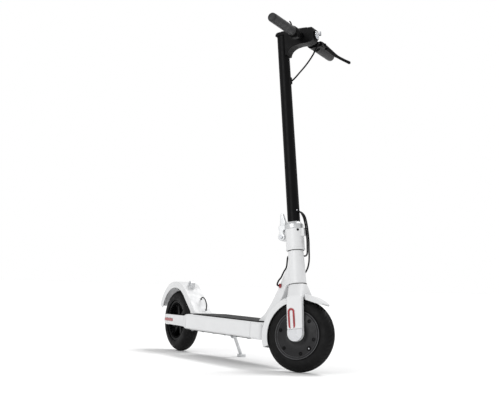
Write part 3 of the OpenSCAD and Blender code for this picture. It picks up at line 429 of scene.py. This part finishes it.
def curve_through(points, step=3.0):
    """A smooth line through points, with rings about one step apart."""
    pts = [Vector(p) for p in points]
    pts = [2 * pts[0] - pts[1]] + pts + [2 * pts[-1] - pts[-2]]
    line = []
    for i in range(1, len(pts) - 2):
        a, b, c, d = pts[i - 1 : i + 3]
        count = max(2, round((c - b).length / step))
        for k in range(count):
            t = k / count
            line.append(
                0.5
                * (
                    2 * b
                    + (c - a) * t
                    + (2 * a - 5 * b + 4 * c - d) * t * t
                    + (3 * b - a - 3 * c + d) * t * t * t
                )
            )
    line.append(pts[-2])
    return line


def tube(line, radius, sides=12):
    """A round tube along a line, without twist. The radius may be a function of 0 to 1."""
    heads = [
        (line[min(i + 1, len(line) - 1)] - line[max(i - 1, 0)]).normalized()
        for i in range(len(line))
    ]
    side = heads[0].orthogonal().normalized()
    rings = []
    for i, (p, t) in enumerate(zip(line, heads)):
        side = (side - t * side.dot(t)).normalized()
        other = t.cross(side)
        r = radius(i / (len(line) - 1)) if callable(radius) else radius
        rings.append(
            [
                p + r * (side * math.cos(a) + other * math.sin(a))
                for a in (2 * math.pi * k / sides for k in range(sides))
            ]
        )
    return skin(rings)


def bolt(at, r, h, socket=True, facing=-1, steps=20):
    """A socket screw's head about the Y axis: a domed rim round a sunk socket."""
    y = facing
    profile = [(0, 0.02), (0, r), (y * h * 0.7, r), (y * h, r * 0.8), (y * h, r * 0.52)]
    if socket:
        profile += [(y * h * 0.35, r * 0.5), (y * h * 0.35, 0.02)]
    else:
        profile += [(y * h * 1.05, 0.02)]
    return turned(profile, steps, at)


# ------------------------------------------------------------------ tyres and wheels
TREAD_BLOCKS = 46
BLOCK_RINGS = 8
BEAD = math.acos((RIM_R - TYRE_R + TYRE_SECTION) / TYRE_SECTION)


def tread_depth(turn, across):
    """Depth of the tread pattern at a share of a turn and a distance from the centre line."""
    s = abs(across)
    rows = turn * TREAD_BLOCKS
    if s < 27:
        if abs(s - 8) < 1.1 or (s < 0.9):
            return 1.3
        lean = (s - 8) * 0.045 if s > 8 else -s * 0.05
        half = 0.5 if across < 0 else 0.0
        place = (rows + lean + half) % 1
        if s > 9 and place < 0.16:
            return 1.5 * min(1, (27 - s) / 6)
        if 1.5 < s < 7 and place < 0.12:
            return 1.0
    if abs(s - 33) < 0.8 or abs(s - 46) < 0.6:
        return -0.35
    return 0.0


def tyre(name, space, body, node):
    """A hollow tyre with its tread cut in, turned ring by ring."""
    rings = []
    outer, inner = 56, 10
    turns = TREAD_BLOCKS * BLOCK_RINGS
    middle = TYRE_R - TYRE_SECTION
    for i in range(turns):
        a = 2 * math.pi * i / turns
        ring = []
        for k in range(outer + 1):
            lean = BEAD * (2 * k / outer - 1)
            across = TYRE_SECTION * lean
            r = TYRE_SECTION - 0.4 - tread_depth(i / turns, across)
            ring.append((middle + r * math.cos(lean), r * math.sin(lean)))
        for k in range(inner + 1):
            lean = BEAD * (1 - 2 * k / inner)
            r = TYRE_SECTION - 6
            ring.append((max(RIM_R + 0.05, middle + r * math.cos(lean)), r * math.sin(lean)))
        rings.append([(r * math.cos(a), y, r * math.sin(a)) for r, y in ring])
    verts, faces = skin(rings, closed=True)
    piece(name, verts, faces, space, body, "tyre_black", swaps=(node,), sharp=50)


tyre("front_tyre_tread", STEER, "front_wheel", "front_tyre")
tyre("rear_tyre_tread", REAR_HUB, "rear_wheel", "rear_tyre")


def rear_rim():
    """The spoked rim with small ribs round both of its shoulders."""
    ribs = []
    count = 40
    for i in range(count):
        turn = Matrix.Rotation(2 * math.pi * i / count, 4, "Y")
        for y0, y1 in ((-21.5, -15), (15, 21.5)):
            v, f = block((57.5, y0, -1.1), (65, y1, 1.1))
            ribs.append(([turn @ Vector(p) for p in v], f, REAR_HUB))
    cast("rear_rim_casting", ["rear_rim"], voxel=1.1, passes=4, extra=ribs)


rear_rim()


SCREW_RING = 56
SCREW_TURNS = (41, -19, -82, -143, 159)
VALVE_TURN = -50


def on_ring(r, degrees, y):
    a = math.radians(degrees)
    return (r * math.cos(a), y, r * math.sin(a))


def motor_cover():
    """The stepped plate on the hub motor's right side, its screws and valve, and two thin lighter
    rings on its rim and step that are painted highlights.
    """
    bore, face = 6.3, -27.0
    rings = [
        (-24.05, bore), (-24.05, 71.9), (-26.6, 71.9), (-27.9, 71.3), (-28.3, 69.9),
        (-28.2, 67.4), (-27.0, 65.9), (-26.4, 64.6), (face, 62.5), (face - 0.15, 50.5),
        (face - 0.55, 49.8), (face - 0.6, 30.0), (face - 0.2, 29.0), (face - 0.25, 25.2),
        (face - 1.4, 23.8), (face - 1.4, bore),
    ]
    piece(
        "motor_cover_plate", *turned(rings, 128), STEER, "front_wheel", "motor_grey",
        swaps=("motor_cover",), sharp=40,
    )
    heads = [bolt(on_ring(SCREW_RING, a, face + 0.6), 3.3, 1.9) for a in SCREW_TURNS]
    seats = [
        turned([(0, 3.4), (0, 6.0), (-0.6, 5.6), (-0.6, 3.4)], 24, on_ring(SCREW_RING, a, face))
        for a in SCREW_TURNS
    ]
    piece(
        "motor_cover_screw_heads", *joined(heads), STEER, "front_wheel", "black_plastic",
        swaps=("motor_cover_screws",), sharp=40,
    )
    piece("motor_cover_screw_seats", *joined(seats), STEER, "front_wheel", "black_plastic",
          sharp=40)
    # Two thin rings in a lighter grey: painted highlights for the gloss on the cover's outer rim
    # and inner step.
    edge = [(-27.9, 70.2), (-27.9, 71.9), (-28.5, 71.7), (-28.8, 71.0), (-28.5, 70.3)]
    inner = [(-26.5, 64.0), (-26.5, 65.2), (-27.2, 65.0), (-27.4, 64.6), (-27.2, 64.2)]
    highlight_rings = joined([turned(edge, 128), turned(inner, 128)])
    piece("motor_cover_highlight_rings", *highlight_rings, STEER, "front_wheel", "caliper_grey", sharp=60)
    at = on_ring(SCREW_RING, VALVE_TURN, face + 0.2)
    ring = turned([(0, 2.8), (0, 7.6), (-1.2, 6.8), (-1.2, 2.8)], 32, at)
    piece("valve_grommet", *ring, STEER, "front_wheel", "black_plastic", sharp=40)
    stem = turned([(0.5, 0.02), (0.5, 2.6), (-1.0, 2.4), (-1.6, 1.8), (-1.6, 0.02)], 16, at)
    piece("valve_stem", *stem, STEER, "front_wheel", "steel", sharp=40)


motor_cover()


def disc_and_caliper():
    """Thin parts keep their CAD shape with rounded edges; the caliper is one casting."""
    edged("brake_disc", 0.25)
    edged("moving_pad", 0.4)
    cast("caliper_casting", ["brake_caliper"], voxel=0.9, passes=3)
    edged("caliper_arm", 0.6)
    for node in ("rear_axle", "rear_axle_nuts", "motor_axle_nuts"):
        edged(node, 0.5)


disc_and_caliper()


# ------------------------------------------------------------------ deck and frame castings
def mm(value):
    """A length in metres as millimetres."""
    return value / MM


def from_rear(point):
    """A point of the row frame in millimetres from the rear axle and the ground."""
    return Vector((mm(point.x - REAR_AXLE.x), mm(point.y), mm(point.z)))


MAT_LOW, MAT_TOP = (from_rear(c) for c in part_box("deck_mat"))
SEAM = from_rear(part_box("deck_shell")[1]).x
NECK_FOOT = 46


def mat_pattern():
    """Rows of short slanted ribs over the mat, clear of its rim and of the neck's foot."""
    ribs = []
    pitch_x, pitch_y, margin = 10.0, 11.5, 8
    half_l, half_w, height = 4.4, 1.25, 0.9
    rows = int((MAT_TOP.y - margin) / pitch_y)
    columns = int((MAT_TOP.x - MAT_LOW.x - 2 * margin) / pitch_x)
    for i in range(columns):
        x = MAT_LOW.x + margin + 4 + i * pitch_x
        for j in range(-rows, rows + 1):
            y = j * pitch_y
            if x > SEAM - 18 and abs(y) < NECK_FOOT + 3:
                continue
            if math.hypot(x - SEAM, y) < NECK_FOOT + 3:
                continue
            lean = math.radians(38 if (i + j) % 2 else -38)
            c, n = math.cos(lean), math.sin(lean)
            low, top = [], []
            for a, b in ((-1, -1), (1, -1), (1, 1), (-1, 1)):
                for ring, z, k in ((low, -0.3, 1.0), (top, height, 0.72)):
                    u, v = a * half_l * k, b * half_w * k
                    ring.append((x + u * c - v * n, y + u * n + v * c, MAT_TOP.z + z - 0.95))
            ribs.append(skin([low, top]))
    piece("deck_mat_ribs", *joined(ribs), REAR, "frame", "mat_rubber", sharp=30)


def deck():
    """Deck tray, mat, castings, rear fender and lights."""
    edged("deck_shell", 0.6)
    edged("bottom_cover", 0.3)
    edged("bottom_cover_screws", 0.25)
    edged("deck_mat", 0.9)
    mat_pattern()
    edged("charge_port", 0.4)
    edged("port_cap", 0.5)
    cast("neck_casting", ["neck"], voxel=1.5, passes=9)
    cast("rear_frame_casting", ["rear_frame"], voxel=1.5, passes=4)
    cast("arm_cover_shells", ["arm_covers"], voxel=1.1, passes=7)
    cast("rear_fender_shell", ["rear_fender"], voxel=1.2, passes=7)
    cast("fender_hook_loop", ["fender_hook"], voxel=0.8, passes=6)
    edged("rear_reflectors", 0.5)
    edged("tail_light", 0.8)


deck()


# ------------------------------------------------------------------ kickstand
def kickstand():
    """Bracket, leg and pin."""
    cast("kickstand_bracket_plate", ["kickstand_bracket"], voxel=0.8, passes=3)
    cast("kickstand_leg_casting", ["kickstand_leg"], voxel=0.8, passes=5)
    edged("kickstand_pin", 0.3)


kickstand()


# ------------------------------------------------------------------ fork, fold housing and stem
def radial_bolt(name, r, degrees, up, size, height, body, slot):
    """A socket screw that points straight out from the steering axis."""
    a = math.radians(degrees)
    spot = Matrix.Translation((r * math.cos(a), r * math.sin(a), up))
    space = STEER @ spot @ Matrix.Rotation(a + math.pi / 2, 4, "Z")
    piece(name, *bolt((0, 0, 0), size, height), space, body, slot, sharp=40)


def front_end():
    """Fork, fender, fold joint and stem, with their seals and screws."""
    cast("fork_casting", ["fork"], voxel=1.4, passes=14)
    cast("front_fender_shell", ["front_fender"], voxel=1.0, passes=6)
    edged("fork_reflectors", 0.6)
    cast("axle_cover_caps", ["axle_covers"], voxel=0.9, passes=5)
    cast("hinge_housing_casting", ["hinge_housing"], voxel=0.9, passes=4)
    cast("stem_base_casting", ["stem_base"], voxel=0.9, passes=4)
    cast("fold_latch_casting", ["fold_latch"], voxel=0.8, passes=6)
    edged("fold_pin", 0.5)
    edged("stem_tube", 0.5)
    radial_bolt("hinge_housing_bolt", 28.6, -45, 316, 3.6, 2.0, "fork", "black_metal")
    radial_bolt("stem_clamp_screw", 18.7, -30, 378, 2.4, 1.2, "stem", "steel")
    radial_bolt("stem_clamp_screw_left", 18.7, 60, 378, 2.4, 1.2, "stem", "steel")
    low = turned_up([(153.0, 23), (153.0, 27.4), (154.3, 27.4), (154.3, 23)], 72)
    piece("lower_headset_seal", *low, STEER, "frame", "black_plastic", sharp=40)
    high = turned_up([(256.3, 20.3), (256.3, 24.4), (257.3, 24.4), (257.3, 20.3)], 72)
    piece("upper_headset_seal", *high, STEER, "frame", "black_plastic", sharp=40)


front_end()


# ------------------------------------------------------------------ handlebar
def along_u(at):
    """A frame whose Y axis runs ahead, at a point of the steered frame."""
    return STEER @ Matrix.Translation(at) @ Matrix.Rotation(math.radians(-90), 4, "Z")


def at_bar():
    """A frame on the handlebar's own axis."""
    return STEER @ Matrix.Translation((BAR_AHEAD, 0, BAR_H))


def grip(y0, y1, inner_end):
    """A grip with a raised net pattern, a flange at its inner end and a rounded outer end."""
    base, bore, around, pitch = 14.2, 11.1, 96, 4.2
    length = y1 - y0
    count = int(length / 1.2)
    rings = []
    for i in range(count + 1):
        y = y0 + length * i / count
        from_flange = abs(y - inner_end)
        from_tip = length - from_flange
        r = 14.95 if from_flange < 6 else base
        if from_tip < 5:
            r = base - 3.5 * (1 - from_tip / 5) ** 2
        patterned = 9 < from_flange < length - 9
        ring = []
        for k in range(around):
            a = 2 * math.pi * k / around
            lift = 0.0
            if patterned:
                one = math.sin(y * 2 * math.pi / pitch + a * 8)
                two = math.sin(y * 2 * math.pi / pitch - a * 8)
                lift = 0.35 * max(0, one) * max(0, two) + 0.1
            ring.append(((r + lift) * math.cos(a), y, (r + lift) * math.sin(a)))
        rings.append(ring)
    for y in (y1, y0):
        recess = 0 if y == inner_end else math.copysign(3, inner_end - y)
        rings.append(
            [(bore * math.cos(a), y + recess, bore * math.sin(a))
             for a in (2 * math.pi * k / around for k in range(around))]
        )
    return skin(rings, closed=True)


def grips():
    parts = [
        grip(-BAR_HALF, -BAR_HALF + GRIP_RIGHT, -BAR_HALF + GRIP_RIGHT),
        grip(BAR_HALF - GRIP_LEFT, BAR_HALF, BAR_HALF - GRIP_LEFT),
    ]
    for side in (-1, 1):
        y = side * (BAR_HALF - 1.2)
        parts.append(turned([(0, 0.02), (0, 11.3), (-side * 2.4, 11.3), (-side * 2.4, 0.02)], 48,
                            (0, y, 0)))
    piece("grip_sleeves", *joined(parts), at_bar(), "stem", "grip_rubber", swaps=("grips",),
          sharp=40)


def bar():
    """Bar head, controls and grips. The lever's blade is thicker at its root."""
    cast("bar_head_casting", ["bar_head"], voxel=0.9, passes=9)
    edged("display", 0.3)
    edged("power_button", 0.6)
    edged("handlebar", 0.4)
    grips()
    edged("throttle_body", 0.7)
    cast("throttle_lever_casting", ["throttle_lever"], voxel=0.6, passes=3)
    edged("brake_bracket", 0.7)
    blade = curve_through(
        [(101, 103, 911), (106, 125, 904.5), (112, 150, 897), (124, 180, 889.5), (135, 203, 884)]
    )
    blade_skin = tube(blade, lambda t: 4.7 + 2.3 * max(0.0, 1 - (t / 0.55) ** 3), 16)
    cast("brake_lever_casting", ["brake_lever"], voxel=0.7, passes=4,
         extra=[(*blade_skin, STEER)])
    edged("bell", 0.4)
    edged("bell_lever", 0.4)


bar()


def headlight():
    """A bezel with a bright bowl and a domed lens, turned about the forward axis."""
    space = along_u((95.05, 0, BAR_H - 2))
    bezel = [(0, 4), (0, 15.1), (20.6, 15.1), (21.8, 14.3), (22, 13.2), (20, 12.6), (6, 4.5)]
    piece(
        "headlight_bezel", *turned(bezel, 64), space, "stem", "black_plastic",
        swaps=("headlight",), sharp=30,
    )
    bowl = [(5.6, 0.02), (5.6, 4.4), (12, 9.5), (19.8, 12.5), (19.7, 12.6), (5.3, 4.6), (5.3, 0.02)]
    piece("headlight_bowl", *turned(bowl, 64), space, "stem", "satin_metal", sharp=50)
    lamp = [(5.7, 0.02), (5.7, 3.2), (9.5, 3.0), (11.4, 1.8), (11.8, 0.02)]
    piece("headlight_lamp", *turned(lamp, 32), space, "stem", "cover_white", sharp=50)
    lens = [
        (20.1, 0.02), (20.1, 12.6), (21.2, 12.9), (23.6, 10.2), (24.7, 5.6), (24.95, 0.02),
    ]
    piece("headlight_lens", *turned(lens, 64), space, "stem", "lens_clear", sharp=50)


headlight()


# ------------------------------------------------------------------ cables
HOLE_LOW = 374
HOLE_TOP = BAR_H - 130
BRAKE_TOP = [
    (95, 84, BAR_H - 5), (95, 74, BAR_H - 5), (95, 64, BAR_H - 5), (93, 58, BAR_H - 11),
    (88, 52, BAR_H - 24), (80, 44, BAR_H - 44), (70, 35, BAR_H - 64), (58, 25, BAR_H - 84),
    (44, 14, BAR_H - 104), (32, 6, BAR_H - 120), (22, 1, HOLE_TOP), (16, 1, HOLE_TOP - 2.2),
    (11, 1.5, HOLE_TOP - 7), (7, 3, HOLE_TOP - 22), (7, 4, HOLE_LOW + 24),
    (9, 4.5, HOLE_LOW + 10), (14, 4.5, HOLE_LOW + 3), (20, 4.5, HOLE_LOW),
]
LEAD_TOP = [
    (6, -4, BAR_H + 8), (7, -4, HOLE_LOW + 24), (9, -4.5, HOLE_LOW + 10),
    (14, -4.5, HOLE_LOW + 3), (20, -4.5, HOLE_LOW),
]
BRAKE_FOLD = [
    (20, 4.5, HOLE_LOW), (26, 4.5, HOLE_LOW - 3), (34, 5, 360), (38.5, 5, 344),
    (40.5, 6, 324), (41.5, 7, 300), (41.5, 8, 280), (39.5, 10, 257),
]
LEAD_FOLD = [
    (20, -4.5, HOLE_LOW), (26, -4.5, HOLE_LOW - 3), (33, -4.3, 358), (37, -4, 342),
    (39, -3, 322), (40, -2, 300), (40, -1, 280), (38, 1, 257),
]
TO_REAR = REAR.inverted() @ STEER


def steer_pt(u, v, w):
    return TO_REAR @ Vector((u, v, w))


def head_pt(u, w):
    c, s = math.cos(RAKE), math.sin(RAKE)
    axle = from_rear(FRONT_AXLE)
    return axle.x + u * c - w * s, axle.z + u * s + w * c


GROMMET_X, GROMMET_Z = head_pt(-59.5, 159)
GROMMET_L = Vector((GROMMET_X, 27, GROMMET_Z))
GROMMET_R = Vector((GROMMET_X, -27, GROMMET_Z))
BRAKE_NECK = [
    steer_pt(39.5, 10, 257), steer_pt(39, 10.5, 251.25), steer_pt(37, 14, 238),
    steer_pt(31, 22, 220), steer_pt(21, 31, 204), steer_pt(7, 39, 191),
    steer_pt(-10, 47, 178), GROMMET_L + Vector((9, 10.5, 11)),
    GROMMET_L + Vector((2, 11.5, 3.4)), GROMMET_L + Vector((0, 7, 1.17)), GROMMET_L,
]
LEAD_NECK = [
    steer_pt(38, 1, 257), steer_pt(37.5, 1.5, 251.25), steer_pt(35, 5, 244.5),
    steer_pt(29, 13, 241.5), steer_pt(20, 24, 241.5), steer_pt(9, 31, 243.5),
    steer_pt(-7, 32, 246.5), steer_pt(-21, 27, 248.5), steer_pt(-29.5, 21, 248),
    steer_pt(-34, 15, 244.5), steer_pt(-35, 11.5, 236), steer_pt(-35.5, 8.5, 224),
    steer_pt(-38, 7, 211), steer_pt(-47, 5.5, 198), steer_pt(-54.5, 2.5, 183),
    GROMMET_R + Vector((7, -9, 16)), GROMMET_R + Vector((3.5, -11.5, 6.5)),
    GROMMET_R + Vector((-0.5, -8, 1)), GROMMET_R,
]
BRAKE_REAR = [
    GROMMET_L, GROMMET_L - Vector((0, 12, 2)), GROMMET_L + Vector((-8, -21, -12)),
    (697, 3, 173), (684, 3, 144), (672, 3.5, 128), (655, 4, 125), (632, 14, 129),
    (600, 38, 128), (568, 60, 126), (545, 66, 120), (240, 66, 118), (227, 65, 120),
    (212, 54, 128), (202, 43, 132.5), (194, 40, 133), (180, 40, 133), (164, 39, 137),
    (140, 41, 143), (110, 46, 154), (84, 49, 166), (60, 50, 174),
]
LEAD_REAR = [
    GROMMET_R, GROMMET_R + Vector((0.5, 8, -1)), GROMMET_R + Vector((-2, 16, -4)),
    GROMMET_R + Vector((-9, 22, -14)), (697, -3.5, 173), (684, -3.5, 144), (672, -3.5, 128),
    (655, -4, 125), (640, -6, 119),
]
LAMP_LEAD = [
    (118, 14, 185), (124, 14, 192), (136, 14, 195), (150, 14, 191), (161, 14, 181),
    (167, 14, 168), (166, 14, 157), (160, 14, 150),
]


def cable(name, points, space, radius=CABLE_R, body=None, swaps=()):
    return piece(
        name, *tube(curve_through(points), radius), space, body, "cable_black", swaps=swaps,
        sharp=60,
    )


def cables():
    cable("brake_cable_top", BRAKE_TOP, STEER, body="stem", swaps=("stem_cables",))
    cable("main_lead_top", LEAD_TOP, STEER, body="stem")
    for name, points, swaps in (
        ("brake_cable_fold", BRAKE_FOLD, ("fold_cables",)), ("main_lead_fold", LEAD_FOLD, ()),
    ):
        cord = cable(name, points, STEER, swaps=swaps)
        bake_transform(cord)
    for name, points, swaps in (
        ("brake_cable_neck", BRAKE_NECK, ("steer_cables",)), ("main_lead_neck", LEAD_NECK, ()),
    ):
        cord = cable(name, points, REAR, swaps=swaps)
        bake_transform(cord)
    cable("brake_cable_rear", BRAKE_REAR, REAR, body="frame", swaps=("frame_cables",))
    cable("main_lead_rear", LEAD_REAR, REAR, body="frame")
    cable("lamp_lead", LAMP_LEAD, REAR, CABLE_R - 0.5, "frame")


def grommets():
    """Red collars where the two cables enter the neck."""
    ring = [(-2.5, 2.7), (-2.5, 5.2), (0, 5.2), (0.3, 7.0), (2.2, 6.6), (4.2, 3.6), (4.2, 2.7)]
    left = turned(ring, 32, GROMMET_L)
    right = turned([(-y, r) for y, r in ring], 32, GROMMET_R)
    piece("neck_grommets", *joined([left, right]), REAR, "frame", "reflector_red", sharp=30)


cables()
grommets()


# ------------------------------------------------------------------ camera, light and floor
def camera():
    """A long lens low in front of the scooter and to its right."""
    eye = Vector((3.48534, -1.82739, 0.29552))
    target = Vector((0.06267, 0, 0.50388))
    roll = math.radians(2.23)
    ahead = (target - eye).normalized()
    right = ahead.cross(Z).normalized()
    above = right.cross(ahead)
    r2 = right * math.cos(roll) + above * math.sin(roll)
    u2 = above * math.cos(roll) - right * math.sin(roll)
    data = bpy.data.cameras.new("camera")
    data.sensor_width = 36
    data.lens = 86.49
    obj = bpy.data.objects.new("camera", data)
    bpy.context.scene.collection.objects.link(obj)
    turn = Matrix((r2, u2, -ahead)).transposed().to_4x4()
    turn.translation = eye
    obj.matrix_world = turn
    bpy.context.scene.camera = obj


def sun(name, toward, power, softness):
    """A broad, distant light in the given direction, with its spread in degrees."""
    data = bpy.data.lights.new(name, "SUN")
    data.energy = power
    data.angle = math.radians(softness)
    obj = bpy.data.objects.new(name, data)
    bpy.context.scene.collection.objects.link(obj)
    obj.rotation_euler = Vector(toward).to_track_quat("Z", "Y").to_euler()


def stage():
    """A pale floor, an even sky and two broad lights, one behind and one beside."""
    mesh = bpy.data.meshes.new("floor")
    half = 14
    mesh.from_pydata(
        [(-half, -half, 0), (half, -half, 0), (half, half, 0), (-half, half, 0)], [], [(0, 1, 2, 3)]
    )
    floor = new_object("floor", mesh)
    paper = bpy.data.materials.new("look_floor")
    paper.use_nodes = True
    bsdf = paper.node_tree.nodes["Principled BSDF"]
    bsdf.inputs["Base Color"].default_value = (0.93, 0.93, 0.93, 1)
    bsdf.inputs["Roughness"].default_value = 0.9
    bsdf.inputs["Specular IOR Level"].default_value = 0.1
    mesh.materials.append(paper)
    world = bpy.data.worlds.new("studio")
    bpy.context.scene.world = world
    world.use_nodes = True
    sky = world.node_tree.nodes["Background"]
    sky.inputs["Color"].default_value = (1, 1, 1, 1)
    tree = world.node_tree
    seen = tree.nodes.new("ShaderNodeLightPath").outputs["Is Camera Ray"]
    link(tree, ramp(tree, seen, 0, 1, 0.66, 1.0), sky.inputs["Strength"])
    sun("key", (-0.5, 1.5, 2.5), 1.6, 22)
    sun("side", (1.0, -2.3, 1.3), 0.95, 40)
    bpy.context.scene.view_settings.view_transform = "Standard"


camera()
stage()
